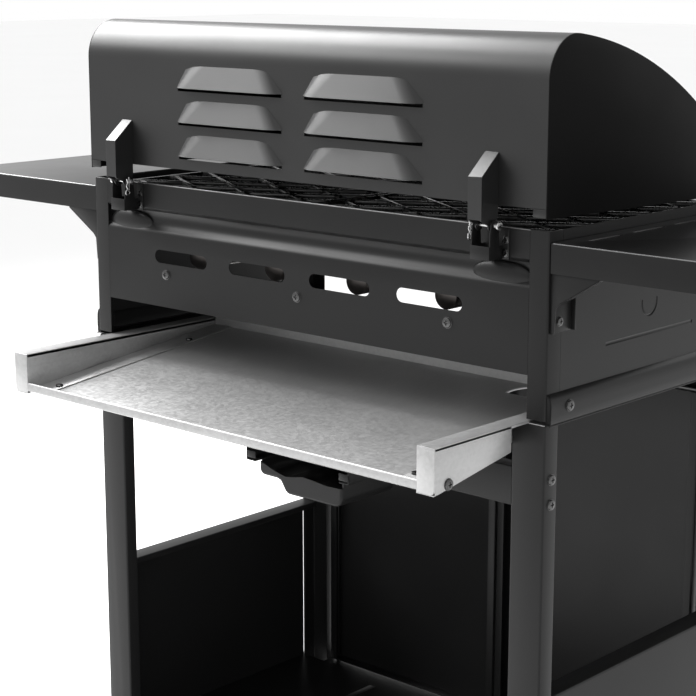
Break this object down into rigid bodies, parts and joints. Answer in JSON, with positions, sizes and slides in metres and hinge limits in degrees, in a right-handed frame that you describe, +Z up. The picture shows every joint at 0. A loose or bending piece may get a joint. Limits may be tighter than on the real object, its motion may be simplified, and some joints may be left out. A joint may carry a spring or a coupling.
{
  "type": "gas barbecue grill",
  "caption": "Wheeled gas barbecue with a hinged louvred lid, firebox with burners, rear grease tray, drip cup, side shelves and a two-door cabinet.",
  "frame": {"origin": "on the ground, under the middle of the whole grill", "axes": "+X to the user's right, -Y the front with the knobs, +Y the back with the grease tray, +Z up"},
  "size_m": [1.344, 0.6754, 1.1235],
  "materials": {
    "black_powder_coat": "semi-gloss black powder coat",
    "galvanised": "galvanised sheet, satin",
    "zinc": "zinc plated",
    "cast_iron": "enamelled, semi-gloss",
    "burner_steel": "stainless tube, satin",
    "brass": "satin",
    "black_plastic": "satin",
    "dial_steel": "satin",
    "tyre_rubber": "matt"
  },
  "bodies": {
    "cart": {"leg_rear_right": "black_powder_coat", "leg_rear_left": "black_powder_coat", "leg_front_right": "black_powder_coat", "leg_front_left": "black_powder_coat", "corner_posts": "black_powder_coat", "side_rail_left": "black_powder_coat", "side_rail_right": "black_powder_coat", "tray_guides": "black_powder_coat", "rear_cross_bar": "black_powder_coat", "front_cross_rail": "black_powder_coat", "side_panel_left": "black_powder_coat", "side_panel_right": "black_powder_coat", "bottom_shelf": "black_powder_coat", "firebox_rear": "black_powder_coat", "firebox_front": "black_powder_coat", "firebox_side_left": "black_powder_coat", "firebox_side_right": "black_powder_coat", "control_panel": "black_powder_coat", "hinge_base_left": "black_powder_coat", "hinge_base_right": "black_powder_coat", "side_shelf_left": "black_powder_coat", "side_shelf_right": "black_powder_coat", "shelf_brackets": "black_powder_coat", "cup_rails": "black_powder_coat", "hinge_pins": "zinc", "pin_clips": "zinc", "axle": "zinc", "frame_screws": "zinc", "cooking_grate_left": "cast_iron", "cooking_grate_right": "cast_iron", "burner_1": "burner_steel", "burner_2": "burner_steel", "burner_3": "burner_steel", "burner_4": "burner_steel", "heat_plates": "burner_steel", "gas_manifold": "burner_steel", "gas_valves": "brass", "gas_inlet": "brass", "feet": "black_plastic"},
    "lid": {"lid_shell": "black_powder_coat", "lid_end_left": "black_powder_coat", "lid_end_right": "black_powder_coat", "lid_hinge_left": "black_powder_coat", "lid_hinge_right": "black_powder_coat", "lid_handle": "dial_steel", "thermometer": "dial_steel"},
    "tray": {"grease_tray": "galvanised", "tray_sides": "galvanised", "tray_screws": "zinc"},
    "cup": {"grease_cup": "black_powder_coat"},
    "left_door": {"door_left": "black_powder_coat"},
    "right_door": {"door_right": "black_powder_coat"},
    "knob_one": {"knob_1": "black_plastic"},
    "knob_two": {"knob_2": "black_plastic"},
    "knob_three": {"knob_3": "black_plastic"},
    "knob_four": {"knob_4": "black_plastic"},
    "igniter": {"igniter_button": "black_plastic"},
    "front_wheel": {"wheel_front": "tyre_rubber"},
    "rear_wheel": {"wheel_rear": "tyre_rubber"}
  },
  "joints": [
    {"name": "lid_hinge", "type": "hinge", "parent": "cart", "child": "lid", "pos_m": [0, 0.19495, 0.922], "axis": [-1, 0, 0], "range_deg": [0, 88]},
    {"name": "tray_slide", "type": "slide", "parent": "cart", "child": "tray", "axis": [0, 1, 0], "range_m": [-0.029, 0.11]},
    {"name": "cup_slide", "type": "slide", "parent": "cart", "child": "cup", "axis": [0, 1, 0], "range_m": [0, 0.09]},
    {"name": "left_door_hinge", "type": "hinge", "parent": "cart", "child": "left_door", "pos_m": [-0.311, -0.22975, 0.405], "axis": [0, 0, -1], "range_deg": [0, 90]},
    {"name": "right_door_hinge", "type": "hinge", "parent": "cart", "child": "right_door", "pos_m": [0.311, -0.22975, 0.405], "axis": [0, 0, 1], "range_deg": [0, 90]},
    {"name": "knob_one_turn", "type": "hinge", "parent": "cart", "child": "knob_one", "pos_m": [-0.204, -0.31975, 0.838], "axis": [0, -1, 0], "range_deg": [0, 170]},
    {"name": "knob_two_turn", "type": "hinge", "parent": "cart", "child": "knob_two", "pos_m": [-0.068, -0.31975, 0.838], "axis": [0, -1, 0], "range_deg": [0, 170]},
    {"name": "knob_three_turn", "type": "hinge", "parent": "cart", "child": "knob_three", "pos_m": [0.068, -0.31975, 0.838], "axis": [0, -1, 0], "range_deg": [0, 170]},
    {"name": "knob_four_turn", "type": "hinge", "parent": "cart", "child": "knob_four", "pos_m": [0.204, -0.31975, 0.838], "axis": [0, -1, 0], "range_deg": [0, 170]},
    {"name": "igniter_push", "type": "slide", "parent": "cart", "child": "igniter", "axis": [0, 1, 0], "range_m": [0, 0.004], "stiffness_N_per_m": 400},
    {"name": "front_wheel_spin", "type": "hinge", "parent": "cart", "child": "front_wheel", "pos_m": [0.3435, -0.25375, 0.075], "axis": [0, 1, 0], "continuous": true},
    {"name": "rear_wheel_spin", "type": "hinge", "parent": "cart", "child": "rear_wheel", "pos_m": [0.3435, 0.19925, 0.075], "axis": [0, 1, 0], "continuous": true}
  ]
}
